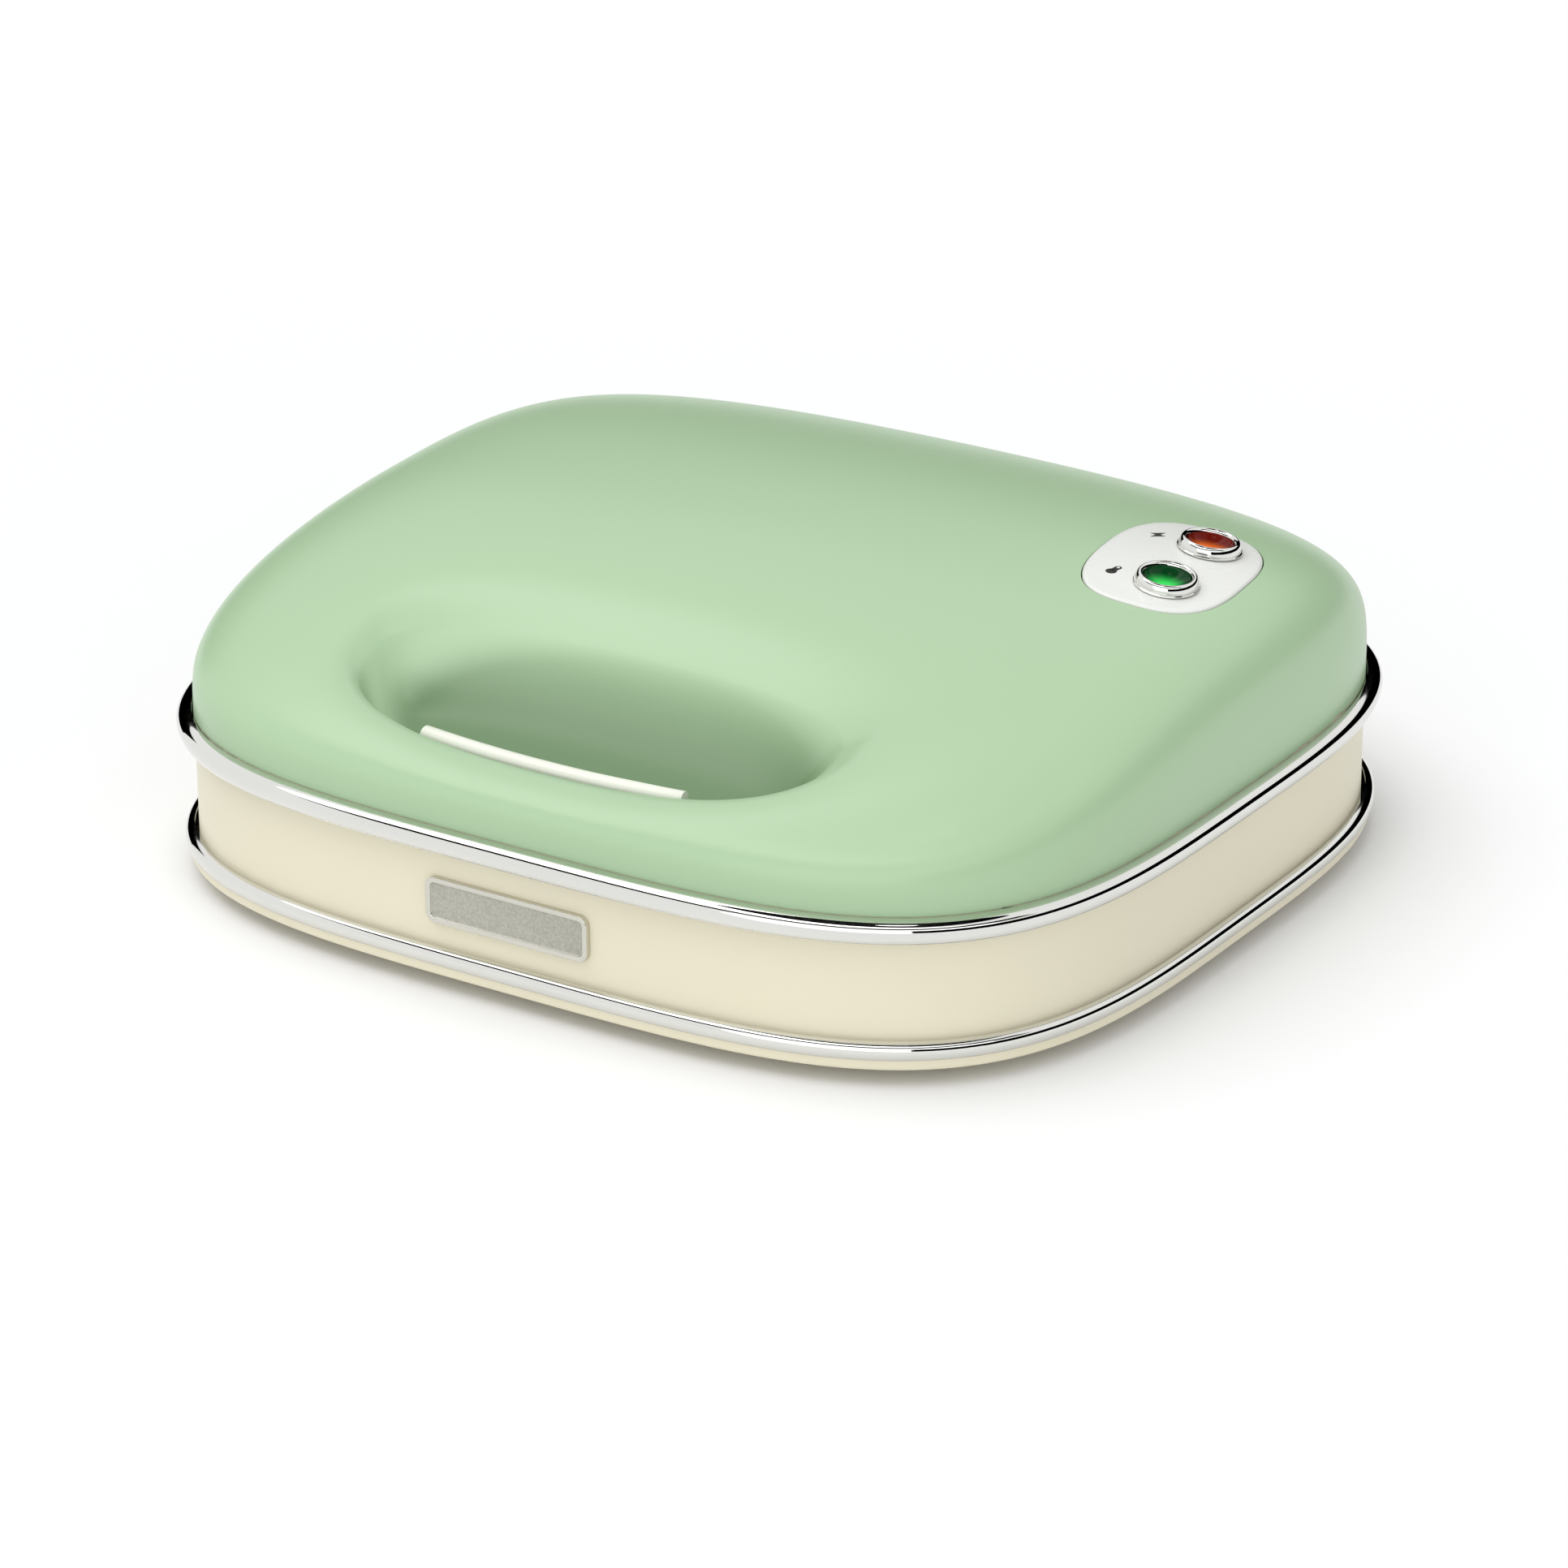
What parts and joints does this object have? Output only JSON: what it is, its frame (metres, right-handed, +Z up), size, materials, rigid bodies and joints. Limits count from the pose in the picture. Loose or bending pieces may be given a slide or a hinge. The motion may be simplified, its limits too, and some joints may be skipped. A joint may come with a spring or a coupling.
{
  "type": "sandwich toaster",
  "caption": "Sandwich toaster with a domed pastel lid, chrome trim rings, facing cooking plates, rear hinge, finger pocket with latch lever, and indicator lamps.",
  "frame": {"origin": "on the worktop, under the middle of the whole appliance's box", "axes": "+X to the user's right, -Y to the front where the finger pocket is, +Z up"},
  "size_m": [0.26, 0.2504, 0.0835],
  "materials": {
    "cream_plastic": "cream moulded plastic, smooth and lightly glossy",
    "green_shell": "pastel green painted shell, glossy",
    "chrome_trim": "bright chrome plating",
    "badge_metal": "chrome border round a bare matt field",
    "coated_plate": "cast aluminium with a dark non-stick coating",
    "steel": "plain steel",
    "rubber": "black rubber",
    "ceramic": "unglazed ceramic and moulded resin",
    "lead_sleeve": "braided glass sleeve",
    "fuse_brass": "plain metal can",
    "lamp_plate_white": "white plastic, satin",
    "power_lens": "translucent orange lens",
    "ready_lens": "translucent green lens",
    "neon_glass": "clear glass tube"
  },
  "bodies": {
    "base": {"base_band": "cream_plastic", "rear_panel": "cream_plastic", "lower_trim_ring": "chrome_trim", "bottom_cover": "cream_plastic", "rubber_feet": "rubber", "cover_screws": "steel", "base_deck": "cream_plastic", "lower_cooking_plate": "coated_plate", "lower_heating_element": "steel", "lower_reflector": "steel", "lower_plate_screws": "steel", "thermostat": "ceramic", "thermal_fuse": "fuse_brass", "terminal_block": "ceramic", "thermostat_leads": "lead_sleeve", "cord_gland": "rubber", "hinge_housing": "cream_plastic", "hinge_pin": "steel", "latch_keeper": "steel", "badge": "badge_metal"},
    "lid": {"lid_shell": "green_shell", "upper_trim_ring": "chrome_trim", "lid_deck": "cream_plastic", "upper_cooking_plate": "coated_plate", "upper_heating_element": "steel", "upper_reflector": "steel", "upper_plate_screws": "steel", "lid_hinge_arm": "cream_plastic", "hinge_arm_screws": "steel", "lamp_plate": "lamp_plate_white", "power_lamp_bezel": "chrome_trim", "ready_lamp_bezel": "chrome_trim", "power_lamp_lens": "power_lens", "ready_lamp_lens": "ready_lens", "power_lamp_neon": "neon_glass", "ready_lamp_neon": "neon_glass", "lamp_holder": "ceramic", "lever_pin": "steel", "lever_spring": "steel"},
    "latch": {"latch_lever": "cream_plastic"}
  },
  "joints": [
    {"name": "lid_hinge", "type": "hinge", "parent": "base", "child": "lid", "pos_m": [0, 0.12055, 0.03825], "axis": [-1, 0, 0], "range_deg": [0, 100]},
    {"name": "latch_pivot", "type": "hinge", "parent": "lid", "child": "latch", "pos_m": [0, -0.08925, 0.0414], "axis": [-1, 0, 0], "range_deg": [0, 6], "stiffness_Nm_per_rad": 0.5}
  ]
}
